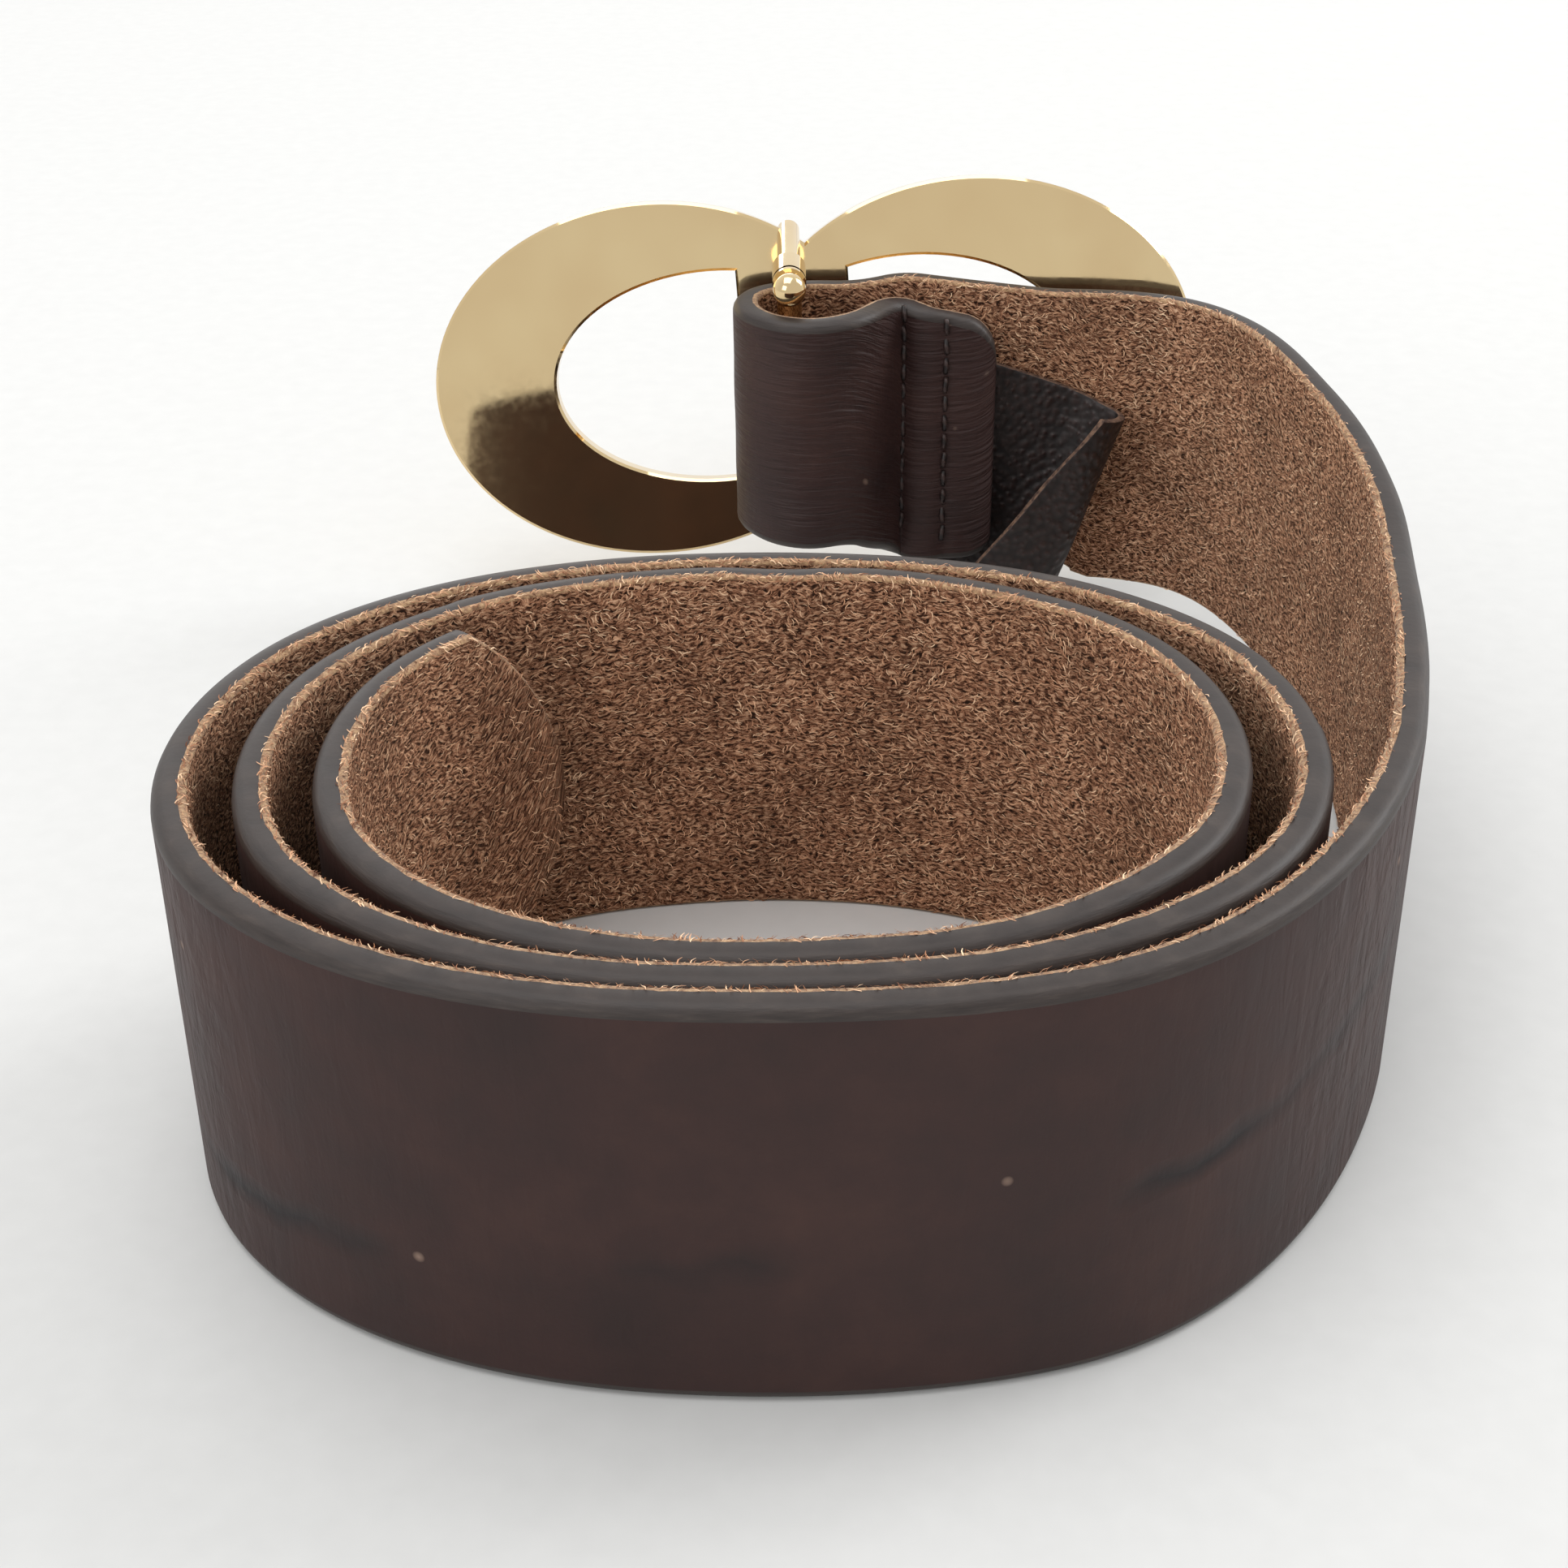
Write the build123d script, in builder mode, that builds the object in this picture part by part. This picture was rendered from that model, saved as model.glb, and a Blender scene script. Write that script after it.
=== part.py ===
from build123d import *
import os
from math import cos, radians, sin, tan

os.makedirs("parts", exist_ok=True)

# Leather strap, rolled up and standing on its long edge
strap_width = 40.0
strap_thickness = 3.2
tip_bulge = 10.0                    # how far the rounded tip runs out past its corners
half_thickness = strap_thickness / 2

# Oval spiral of the roll: half-sizes at the start, and how much each full turn adds
roll_x, roll_y = -7.3, -42.2
half_length, half_depth = 37.9, 33.0
roll_slack = 3.9                    # room between turns at the sides of the roll
roll_gap = 0.3                      # and at its front and back, where they nearly touch
length_per_turn = strap_thickness + roll_slack
depth_per_turn = strap_thickness + roll_gap
oval_power = 2.2                    # 2 is an ellipse, more is squarer
first_angle, last_angle, angle_step = 128, 1035, 15

# Punched adjustment holes, measured along the strap from the tip
hole_radius = 2.5
hole_count = 5
first_hole, hole_pitch = 70.0, 20.0

# Buckle: the pivot bar stands upright inside the folded end of the strap
bar_x, bar_y, bar_z = -4.3, 63.2, 31.0
bar_radius = 1.6
post_half_spacing = 17.4
post_radius, collar_radius = 1.5, 2.15
edge_clearance = 0.35               # between the posts and the edges of the fold
buckle_lean = radians(14)           # how far the top of the frame leans away from the strap
buckle_tilt = radians(4)            # the frame's turn in its own plane
frame_off_x, frame_off_z = 3.3, 0.5     # centre of the frame from the middle of the bar
frame_thickness = 5.3
lobe_offset = 21.2
lobe_half_length, lobe_half_height = 29.9, 23.5
opening_offset = 13.2
opening_half_length, opening_half_height = 21.6, 13.9
web_left, web_right = -9.5, 5.5
front_rounding, back_chamfer = 1.9, 0.35

# Folded end: two layers of strap joined by stitching, narrower than the strap
far_room = 2.1                      # behind the bar
far_layer_y = bar_y + bar_radius + far_room + half_thickness
fold_gap = 0.3
tab_thickness = 1.0
tab_gap = 0.15
fold_top = bar_z + post_half_spacing - collar_radius - edge_clearance
fold_bottom = bar_z - post_half_spacing + post_radius + edge_clearance
fold_taper_x = bar_x + 9.0
seam_bottom, seam_top = 13.0, 47.1          # edges of the far layer at the first row
near_bottom, near_top = 8.5, 44.6           # edges of the near layer there
flap_bottom, flap_top = 9.5, 41.6
flat_top_x, flat_bottom_x = 30.0, 46.0      # where the strap is back to its full width
end_lift = 4.5                      # how far the end of the strap is raised off the table
ramp_start, ramp_end = -1.0, 47.0    # where, along y, the strap climbs to that height
fold_start = 51.0
layer_split = far_layer_y - half_thickness - fold_gap / 2
flap_end_x = bar_x + 26.6
row_1_x, row_2_x = bar_x + 14.7, bar_x + 20.1

# The frame's flat back clears the lowest corner of the strap that lies in front of it
back_gap = 0.4
lowest_crossing = 10.2
frame_x, frame_z = bar_x + frame_off_x, bar_z + frame_off_z
strap_back_y = far_layer_y + half_thickness
frame_y = strap_back_y + back_gap + (frame_z - lowest_crossing) * tan(buckle_lean)

# Stitching
stitch_pitch = 2.6
stitch_length, stitch_width = 1.9, 0.8
stitch_depth = 0.3
stitch_count = 12
row_1_bottom, row_2_bottom = 14.6, 13.2


def oval_point(angle):
    """Point of the spiral's centre line at an angle that keeps growing turn after turn."""
    turns = (angle - first_angle) / 360
    a = half_length + length_per_turn * turns
    b = half_depth + depth_per_turn * turns
    c, s = cos(radians(angle)), sin(radians(angle))
    radius = (abs(c / a) ** oval_power + abs(s / b) ** oval_power) ** (-1 / oval_power)
    return (roll_x + radius * c, roll_y + radius * s)


# Centre line of the strap seen from above, from the tip to the end of the sewn flap
roll_points = [oval_point(angle) for angle in range(first_angle, last_angle, angle_step)]
side_points = [
    (bar_x + 54.6, bar_y - 108.0),
    (bar_x + 61.3, bar_y - 82.0),
    (bar_x + 64.5, bar_y - 58.0),
    (bar_x + 64.3, bar_y - 36.0),
    (bar_x + 59.5, bar_y - 14.5),
    (bar_x + 51.6, bar_y + 0.4),
]
near_layer_y = far_layer_y - strap_thickness - fold_gap
flap_y = far_layer_y - strap_thickness - tab_thickness - 3 * tab_gap
end_points = [
    (bar_x + 38.0, far_layer_y - 0.3),
    (bar_x + 27.0, far_layer_y),
    (bar_x + 16.0, far_layer_y),
    (bar_x + 6.0, far_layer_y),
    (bar_x - 0.5, far_layer_y - 0.2),
    (bar_x - 4.2, bar_y + 3.0),
    (bar_x - 5.5, bar_y),
    (bar_x - 4.6, bar_y - 4.6),
    (bar_x - 1.6, bar_y - 8.2),
    (bar_x + 3.0, bar_y - 9.6),
    (bar_x + 7.6, bar_y - 7.4),
    (bar_x + 11.2, bar_y - 2.2),
    (row_1_x, near_layer_y),
    (row_2_x - 2.6, flap_y),
    (row_2_x, flap_y),
    (flap_end_x, flap_y),
]
centre_line = Spline(roll_points + side_points + end_points)
strap_length = centre_line.length


def beside(curve, count, distance):
    """Points beside a curve, on its left for a positive distance."""
    points = []
    for step in range(count + 1):
        along = curve % (step / count)
        points.append(curve @ (step / count) + Vector(-along.Y, along.X) * distance)
    return points


def strap_plane(distance):
    """Plane facing out of the strap's grain side, at a length from the tip."""
    place = distance / strap_length
    along = centre_line % place
    grain = Vector(along.Y, -along.X)
    point = centre_line @ place
    return Plane(origin=(point.X, point.Y, strap_width / 2), x_dir=along, z_dir=grain)


# Room that the strap may fill: upright sides, then the climb, then the tapering fold
reach = 130
lifted_top = strap_width + end_lift
with BuildPart() as envelope:
    with BuildSketch(Plane.YZ.offset(-reach)):
        with BuildLine():
            Polyline(
                (-reach, 0), (ramp_start, 0), (ramp_end, end_lift), (fold_start, end_lift),
                (fold_start, lifted_top), (ramp_end, lifted_top), (ramp_start, strap_width),
                (-reach, strap_width), close=True,
            )
        make_face()
    extrude(amount=2 * reach)
    with BuildSketch(Plane.XZ.offset(-layer_split)):
        with BuildLine():
            Polyline(
                (-reach, fold_bottom), (fold_taper_x, fold_bottom), (row_1_x, seam_bottom),
                (flap_end_x, flap_bottom), (flat_bottom_x, end_lift), (reach, end_lift),
                (reach, lifted_top), (flat_top_x, lifted_top), (row_1_x, seam_top),
                (fold_taper_x, fold_top), (-reach, fold_top), close=True,
            )
        make_face()
    extrude(amount=-reach)
    with BuildSketch(Plane.XZ.offset(-layer_split)):
        with BuildLine():
            Polyline(
                (-reach, fold_bottom), (fold_taper_x - 2, fold_bottom), (row_1_x, near_bottom),
                (flap_end_x + 1, flap_bottom), (flap_end_x + 1, flap_top), (row_1_x, near_top),
                (fold_taper_x, fold_top), (-reach, fold_top), close=True,
            )
        make_face()
    extrude(amount=layer_split - fold_start)
    with BuildSketch(Plane.XZ.offset(-layer_split)):
        with BuildLine():
            Polyline(
                (flap_end_x + 1, end_lift), (reach, end_lift), (reach, lifted_top),
                (flap_end_x + 1, lifted_top), close=True,
            )
        make_face()
    extrude(amount=layer_split - fold_start)

side_samples = 170
with BuildPart() as strap:
    with BuildSketch():
        with BuildLine():
            inner = Spline(beside(centre_line, side_samples, half_thickness))
            outer = Spline(beside(centre_line, side_samples, -half_thickness))
            Line(inner @ 0, outer @ 0)
            Line(inner @ 1, outer @ 1)
        make_face()
    extrude(amount=60)
    add(envelope.part, mode=Mode.INTERSECT)
    # The tip is cut to a shallow arc
    tip_radius = ((strap_width / 2) ** 2 + tip_bulge**2) / (2 * tip_bulge)
    with BuildSketch(strap_plane(0)):
        with Locations((tip_bulge / 2 - 2, 0)):
            Rectangle(tip_bulge + 4, strap_width + 2)
        with Locations((tip_radius, 0)):
            Circle(tip_radius, mode=Mode.SUBTRACT)
    extrude(amount=strap_thickness, both=True, mode=Mode.SUBTRACT)
    # Adjustment holes
    for number in range(hole_count):
        with BuildSketch(strap_plane(first_hole + number * hole_pitch)):
            Circle(hole_radius)
        extrude(amount=half_thickness + 0.4, both=True, mode=Mode.SUBTRACT)
strap.part.label = "strap"
export_step(strap.part, "parts/strap.step")

# Thin tab sewn under the flap: it runs out to the right and turns back on itself
tab_tilt = radians(19)
tab_height = 30.0
tab_start_x = row_2_x - 0.3
tab_axis_up = Vector(sin(tab_tilt), 0, cos(tab_tilt))
tab_out = Vector(cos(tab_tilt), 0, -sin(tab_tilt))
tab_y = far_layer_y - half_thickness - tab_gap - tab_thickness / 2
tab_plane = Plane(origin=(bar_x + 33.5, tab_y, 1.6), x_dir=tab_out, z_dir=tab_axis_up)
tab_points = [
    (-26, 0), (-20, 0), (-14, 0), (-8.6, -0.2), (-2.8, -2.1), (-0.3, -5.6),
    (-2.8, -8.7), (-8, -9.6), (-15, -10.2),
]
tab_line = Spline(tab_points)
with BuildPart() as inner_tab:
    with BuildSketch(tab_plane):
        with BuildLine():
            inside = Spline(beside(tab_line, 24, -tab_thickness / 2))
            outside = Spline(beside(tab_line, 24, tab_thickness / 2))
            Line(inside @ 0, outside @ 0)
            Line(inside @ 1, outside @ 1)
        make_face()
    extrude(amount=tab_height)
    with Locations((tab_start_x - 20, tab_y, 20)):
        Box(40, 4, 80, mode=Mode.SUBTRACT)
inner_tab.part.label = "inner_tab"
export_step(inner_tab.part, "parts/inner_tab.step")

# Buckle: the frame is set out on its flat back, which faces the strap's flesh side
frame_up = Vector(0, sin(buckle_lean), cos(buckle_lean))
frame_across = Vector(1, 0, 0) * cos(buckle_tilt) + frame_up * sin(buckle_tilt)
frame_out = Vector(0, -cos(buckle_lean), sin(buckle_lean))
frame_plane = Plane(origin=(frame_x, frame_y, frame_z), x_dir=frame_across, z_dir=frame_out)
bar_plane = Plane(origin=(bar_x, bar_y, bar_z), x_dir=(1, 0, 0), z_dir=(0, -1, 0))
post_tail = 2.4                     # how deep each post goes into the frame
upper_reach = frame_y + (bar_z + post_half_spacing - frame_z) * tan(buckle_lean) - bar_y
lower_reach = frame_y + (bar_z - post_half_spacing - frame_z) * tan(buckle_lean) - bar_y

with BuildPart() as buckle_frame:
    with BuildSketch(frame_plane):
        with Locations((-lobe_offset, 0), (lobe_offset, 0)):
            Ellipse(lobe_half_length, lobe_half_height)
    extrude(amount=-frame_thickness)
    with BuildSketch(frame_plane):
        with Locations((-opening_offset, 0), (opening_offset, 0)):
            Ellipse(opening_half_length, opening_half_height)
        with Locations(((web_left + web_right) / 2, 0)):
            Rectangle(web_right - web_left, lobe_half_height * 2, mode=Mode.SUBTRACT)
    extrude(amount=-frame_thickness, mode=Mode.SUBTRACT)
    across = Axis(frame_plane.origin, frame_out)
    fillet(buckle_frame.faces().sort_by(across)[0].edges(), radius=front_rounding)
    chamfer(buckle_frame.faces().sort_by(across)[-1].edges(), length=back_chamfer)
    for height, depth in ((post_half_spacing, upper_reach), (-post_half_spacing, lower_reach)):
        with BuildSketch(bar_plane.offset(-depth - post_tail)):
            with Locations((0, height)):
                Circle(post_radius)
        extrude(amount=post_tail + depth, mode=Mode.SUBTRACT)
buckle_frame.part.label = "buckle_frame"
export_step(buckle_frame.part, "parts/buckle_frame.step")

# Upper post, turned: (radius, start, end) steps from the bar's axis toward the strap's flesh side
ball_radius = 2.1
ball_place = 5.2
upper_steps = [
    (post_radius, -upper_reach - post_tail, -3.4),
    (collar_radius, -3.4, 1.9),
    (post_radius, 1.9, 2.5),
    (collar_radius, 2.5, 3.2),
    (post_radius, 3.2, ball_place),
]
lower_steps = [(post_radius, -lower_reach - post_tail, bar_radius)]


def make_post(name, height, steps, mouth):
    """A post standing on the frame's back, drilled on one side for the bar."""
    with BuildPart() as post:
        for radius, start, end in steps:
            with BuildSketch(bar_plane.offset(start)):
                with Locations((0, height)):
                    Circle(radius)
            extrude(amount=end - start)
        if height > 0:
            with Locations((bar_x, bar_y - ball_place, bar_z + height)):
                Sphere(ball_radius)
        with BuildSketch(Plane.XY.offset(bar_z + height)):
            with Locations((bar_x, bar_y)):
                Circle(bar_radius)
        extrude(amount=mouth * collar_radius, mode=Mode.SUBTRACT)
    post.part.label = name
    export_step(post.part, f"parts/{name}.step")


make_post("upper_post", post_half_spacing, upper_steps, -1)
make_post("lower_post", -post_half_spacing, lower_steps, 1)

with BuildPart() as hinge_bar:
    with BuildSketch(Plane.XY.offset(bar_z - post_half_spacing)):
        with Locations((bar_x, bar_y)):
            Circle(bar_radius)
    extrude(amount=2 * post_half_spacing)
hinge_bar.part.label = "hinge_bar"
export_step(hinge_bar.part, "parts/hinge_bar.step")


def make_stitches(name, row_x, near_y, bottom):
    """One row of stitches through the fold, showing on the flap and on the grain side."""
    with BuildPart() as row:
        for face_y in (near_y, strap_back_y):
            for number in range(stitch_count):
                with BuildSketch(Plane.XZ.offset(-face_y)):
                    with Locations((row_x, bottom + number * stitch_pitch)):
                        SlotOverall(stitch_length, stitch_width, rotation=90)
                extrude(amount=stitch_depth, both=True)
    row.part.label = name
    export_step(row.part, f"parts/{name}.step")


make_stitches("fold_stitches", row_1_x, near_layer_y - half_thickness, row_1_bottom)
make_stitches("flap_stitches", row_2_x, flap_y - half_thickness, row_2_bottom)
print(f"strap {strap_length:.0f} mm long")
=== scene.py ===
from math import cos, pi, radians, sin, sqrt

import bmesh
import bpy
import numpy as np
from mathutils import Matrix, Vector, noise


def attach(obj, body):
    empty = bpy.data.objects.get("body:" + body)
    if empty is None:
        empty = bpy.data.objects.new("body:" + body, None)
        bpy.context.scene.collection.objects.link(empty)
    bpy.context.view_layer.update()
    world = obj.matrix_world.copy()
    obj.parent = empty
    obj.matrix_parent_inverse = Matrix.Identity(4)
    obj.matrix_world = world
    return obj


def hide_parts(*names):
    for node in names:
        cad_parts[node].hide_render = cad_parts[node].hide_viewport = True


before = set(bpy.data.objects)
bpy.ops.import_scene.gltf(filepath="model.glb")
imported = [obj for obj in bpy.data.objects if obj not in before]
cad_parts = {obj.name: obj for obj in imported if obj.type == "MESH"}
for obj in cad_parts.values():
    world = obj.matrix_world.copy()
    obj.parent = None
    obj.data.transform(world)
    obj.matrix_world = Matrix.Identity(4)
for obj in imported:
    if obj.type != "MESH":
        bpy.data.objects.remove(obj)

mm = 0.001
scene = bpy.context.scene
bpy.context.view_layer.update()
print("frame loaded")


def linearColour(hexText):
    channels = [int(hexText[i:i + 2], 16) / 255 for i in (1, 3, 5)]
    return (*[c / 12.92 if c <= 0.04045 else ((c + 0.055) / 1.055) ** 2.4 for c in channels], 1)


def addNode(tree, kind, settings={}, **inputs):
    # inputs are sockets to link or plain values; spaces in a socket's name are written _
    node = tree.nodes.new(kind)
    for name, value in settings.items():
        setattr(node, name, value)
    for name, value in inputs.items():
        key = name.replace("_", " ")
        socket = node.inputs[int(key[2:])] if key.startswith("in") and key[2:].isdigit() else node.inputs[key]
        if isinstance(value, bpy.types.NodeSocket):
            tree.links.new(value, socket)
        else:
            socket.default_value = value
    return node


def newMaterial(name):
    material = bpy.data.materials.new(name)
    material.use_nodes = True
    tree = material.node_tree
    tree.nodes.clear()
    return material, tree


def finishMaterial(tree, **inputs):
    shader = addNode(tree, "ShaderNodeBsdfPrincipled", **inputs)
    addNode(tree, "ShaderNodeOutputMaterial", Surface=shader.outputs[0])
    return shader


def ramp(tree, factor, stops):
    node = addNode(tree, "ShaderNodeValToRGB", Fac=factor)
    elements = node.color_ramp.elements
    while len(elements) < len(stops):
        elements.new(0.5)
    for element, (place, colour) in zip(elements, stops):
        element.position = place
        element.color = linearColour(colour) if isinstance(colour, str) else (colour, colour, colour, 1)
    return node.outputs[0]


# camera
view = {"place": (-5.58, -236.08, 147.0), "down": 30.0, "roll": -0.56, "lens": 55.9}
turn, lean = radians(view["roll"]), radians(view["down"])
right = Vector((cos(turn), sin(turn) * sin(lean), sin(turn) * cos(lean)))
up = Vector((-sin(turn), cos(turn) * sin(lean), cos(turn) * cos(lean)))
camera = bpy.data.objects.new("camera", bpy.data.cameras.new("camera"))
scene.collection.objects.link(camera)
camera.data.lens = view["lens"]
camera.data.sensor_width = 36
camera.data.clip_start, camera.data.clip_end = 0.01, 20
camera.matrix_world = Matrix.Translation(Vector(view["place"]) * mm) @ Matrix(
    (right, up, right.cross(up))).transposed().to_4x4()
scene.camera = camera
scene.view_settings.view_transform = "Standard"

# strap: rolled up on its edge, then folded round the buckle's bar
strapCut = {
    "width": 40.0, "thickness": 3.2, "tipBulge": 10.0, "step": 1.2, "endStep": 0.75,
    "grainRound": 1.15, "fleshRound": 0.4, "rawWidth": 0.75, "endCorner": 4.0,
    "faceRows": 22, "wave": 0.22,
}
roll = {
    "centre": (-7.3, -42.2), "half": (37.9, 33.0), "perTurn": (7.1, 3.5), "power": 2.2,
    "halfWidth": 62,
    "angles": range(128, 1035, 15),
}
bar = Vector((-4.3, 63.2))
# middle of the strap's three layers at the buckle, and how far right each stitch row stands
farY, nearY, flapY = 68.5, 65.0, 63.85
rowOne, rowTwo = 10.4, 15.8
flapEnd = 22.3
# from the tip: up to here the whole flesh side is in sight; from the other end: the length with fine steps
innerTurns, foldSpan = 252, 90


def ovalPoint(angle):
    turns = (angle - roll["angles"][0]) / 360
    a, b = (half + grow * turns for half, grow in zip(roll["half"], roll["perTurn"]))
    c, s = cos(radians(angle)), sin(radians(angle))
    power = roll["power"]
    radius = (abs(c / a) ** power + abs(s / b) ** power) ** (-1 / power)
    return (roll["centre"][0] + radius * c, roll["centre"][1] + radius * s)


sidePoints = [(54.6, -108), (61.3, -82), (64.5, -58), (64.3, -36), (59.5, -14.5), (51.6, 0.4)]
route = [ovalPoint(angle) for angle in roll["angles"]]
route += [(bar.x + x, bar.y + y) for x, y in sidePoints]
route += [
    (33.7, farY - 0.3), (22.7, farY), (11.7, farY), (1.7, farY), (-4.8, farY - 0.2),
    (-8.5, 66.2), (-9.8, 63.2), (-8.9, 58.6), (-5.9, 55.0), (-1.3, 53.6), (3.3, 55.8), (6.9, 61.0),
    (rowOne, nearY), (rowTwo - 2.6, flapY), (rowTwo, flapY), (flapEnd, flapY),
]


def smoothLine(points, count):
    # one line through all the points whose bend never jumps; gives places, directions, lengths
    p = np.array(points, float)
    gap = np.linalg.norm(np.diff(p, axis=0), axis=1)
    knots = np.concatenate([[0], np.cumsum(gap)])
    slope = np.diff(p, axis=0) / gap[:, None]
    n = len(p)
    system, known = np.zeros((n, n)), np.zeros((n, 2))
    for i in range(1, n - 1):
        system[i, i - 1:i + 2] = gap[i], 2 * (gap[i - 1] + gap[i]), gap[i - 1]
        known[i] = 3 * (gap[i] * slope[i - 1] + gap[i - 1] * slope[i])
    system[0, 0] = system[-1, -1] = 1
    known[0] = slope[0] + (slope[0] - slope[1]) * gap[0] / (gap[0] + gap[1])
    known[-1] = slope[-1] + (slope[-1] - slope[-2]) * gap[-1] / (gap[-1] + gap[-2])
    speed = np.linalg.solve(system, known)
    t = np.linspace(0, knots[-1], count)
    i = np.clip(np.searchsorted(knots, t, "right") - 1, 0, n - 2)
    h = gap[i][:, None]
    x = ((t - knots[i]) / gap[i])[:, None]
    places = (p[i] * (1 - 3 * x**2 + 2 * x**3) + p[i + 1] * (3 * x**2 - 2 * x**3)
              + speed[i] * h * (x - 2 * x**2 + x**3) + speed[i + 1] * h * (x**3 - x**2))
    steps = np.gradient(places, axis=0)
    directions = steps / np.linalg.norm(steps, axis=1)[:, None]
    lengths = np.concatenate([[0], np.cumsum(np.linalg.norm(np.diff(places, axis=0), axis=1))])
    return places, directions, lengths


linePlaces, lineDirections, lineLengths = smoothLine(route, 12000)
strapLength = lineLengths[-1]
# the fold is the line's leftmost place in its last quarter
lastQuarter = len(lineLengths) * 3 // 4
foldAt = lineLengths[lastQuarter:][np.argmin(linePlaces[lastQuarter:, 0])]
foldStart = strapLength - foldSpan


def soften(values, reach):
    # runs a window of that many stations along a list of heights
    padded = np.concatenate([np.full(reach, values[0]), values, np.full(reach, values[-1])])
    window = np.ones(2 * reach + 1) / (2 * reach + 1)
    return np.convolve(padded, window, "valid")


def stationsOf(cut):
    tip = [0.03, 0.25, 0.7, 1.3, 2.0, 2.8, 3.7, 4.7, 5.7, 6.8, 7.9, 9.0]
    body = list(np.arange(cut["tipBulge"], foldStart, cut["step"]))
    end = list(np.arange(foldStart, strapLength - 4.2, cut["endStep"]))
    corner = [strapLength - d for d in (3.6, 2.9, 2.2, 1.6, 1.0, 0.5, 0.2, 0.0)]
    return np.array(tip + body + end + corner)


def edgeHeights(cut, stations):
    x = np.interp(stations, lineLengths, linePlaces[:, 0])
    y = np.interp(stations, lineLengths, linePlaces[:, 1])
    lift = np.interp(y, [-1, 47], [0, 4.5])
    bottom, top = lift.copy(), lift + cut["width"]
    far = (stations > foldStart) & (stations <= foldAt)
    near = stations > foldAt
    bottom[far] = np.interp(x[far], [4.7, 10.4, 22.3, 46], [15.45, 13, 9.5, 4.5])
    top[far] = np.interp(x[far], [4.7, 10.4, 30], [45.9, 47.1, 44.5])
    bottom[near] = np.interp(x[near], [2.7, 10.4, 23.3], [15.45, 8.5, 9.5])
    top[near] = np.interp(x[near], [4.7, 10.4, 23.3], [45.9, 44.6, 41.6])
    bottom, top = soften(bottom, 3), soften(top, 3)
    # the rounded tip, then the rounded corners of the flap
    tipRadius = ((cut["width"] / 2) ** 2 + cut["tipBulge"] ** 2) / (2 * cut["tipBulge"])
    for i, s in enumerate(stations):
        if s < cut["tipBulge"]:
            half = sqrt(tipRadius**2 - (tipRadius - s) ** 2)
            bottom[i], top[i] = cut["width"] / 2 - half, cut["width"] / 2 + half
        fromEnd = strapLength - s
        if fromEnd < cut["endCorner"]:
            inset = cut["endCorner"] - sqrt(max(0, cut["endCorner"] ** 2 - (cut["endCorner"] - fromEnd) ** 2))
            top[i] -= inset
            bottom[i] += inset * 0.6
    waves = np.array([noise.noise(Vector((s * 0.035, 3.1, 0))) for s in stations])
    inside = np.clip(stations / 12, 0, 1) * np.clip((strapLength - stations) / 12, 0, 1)
    return bottom, top + waves * cut["wave"] * 1.6 * inside


def strapSection(cut, bottom, top, rag):
    # the cut edge seen end on: flesh side up, over the top edge, down the grain side, back underneath
    t = cut["thickness"] / 2
    f, g, raw = cut["fleshRound"], cut["grainRound"], cut["rawWidth"] + rag
    height = top - bottom
    squeeze = min(1, height / 8)
    f, g = f * squeeze, g * squeeze
    rows = cut["faceRows"]
    points, zones = [], []
    for i in range(rows + 1):
        points.append((t, bottom + f + (height - 2 * f) * i / rows))
        zones.append("flesh")
    zones[-1] = "raw"
    edge = [(t - 0.12, f * 0.45, "raw"), (t - 0.35, f * 0.1, "raw"), (t - raw, 0, "paint"),
            (0.3, -0.05 * squeeze, "paint"), (-0.4, 0, "paint"), (-t + g * 0.55, g * 0.12, "paint"),
            (-t + g * 0.25, g * 0.36, "paint"), (-t + g * 0.06, g * 0.68, "paint")]
    for n, drop, zone in edge:
        points.append((n, top - drop))
        zones.append(zone)
    for i in range(rows + 1):
        points.append((-t, top - g - (height - 2 * g) * i / rows))
        zones.append("grain")
    zones[-1] = "paint"
    for n, drop, zone in reversed(edge):
        points.append((n, bottom + drop))
        zones.append("paint" if zone == "paint" and n > -t + 0.01 else zone)
    return points, zones


def smoothStep(x, low, high):
    x = min(1, max(0, (x - low) / (high - low)))
    return x * x * (3 - 2 * x)


def faceShift(s, n, z, x, y):
    # how far the wall stands out of its line: soft waves, a kink inside the roll, the worn fold
    shift = 0
    if s < 250:
        shift += 0.9 * np.exp(-((s - 214 - (z - 20) * 0.1) / 5.5) ** 2) * smoothStep(z, -4, 26)
        shift += 0.3 * noise.noise(Vector((s * 0.05, z * 0.05, 1))) * smoothStep(s, 20, 60)
    if x > 40 and y > -40:
        shift += 0.55 * noise.noise(Vector((s * 0.045, z * 0.04, 7)))
    if s > foldAt - 4:
        worn = smoothStep(s, foldAt - 4, foldAt + 6)
        shift += worn * 0.35 * noise.noise(Vector((s * 0.12, z * 0.13, 4)))
        shift -= 0.8 * worn * np.exp(-((s - foldAt - 13) / 4) ** 2 - ((z - 18.5) / 2.6) ** 2)
        # the leather is drawn in along both rows of stitches
        for row, depth in ((strapLength - flapEnd + rowOne, 0.28), (strapLength - flapEnd + rowTwo, 0.3)):
            if n < 0:
                shift += depth * np.exp(-((s - row) / 0.9) ** 2)
            shift += 0.12 * np.exp(-((s - row) / 2.2) ** 2) * sin(z * 2 * pi / 2.6)
    return shift


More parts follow.
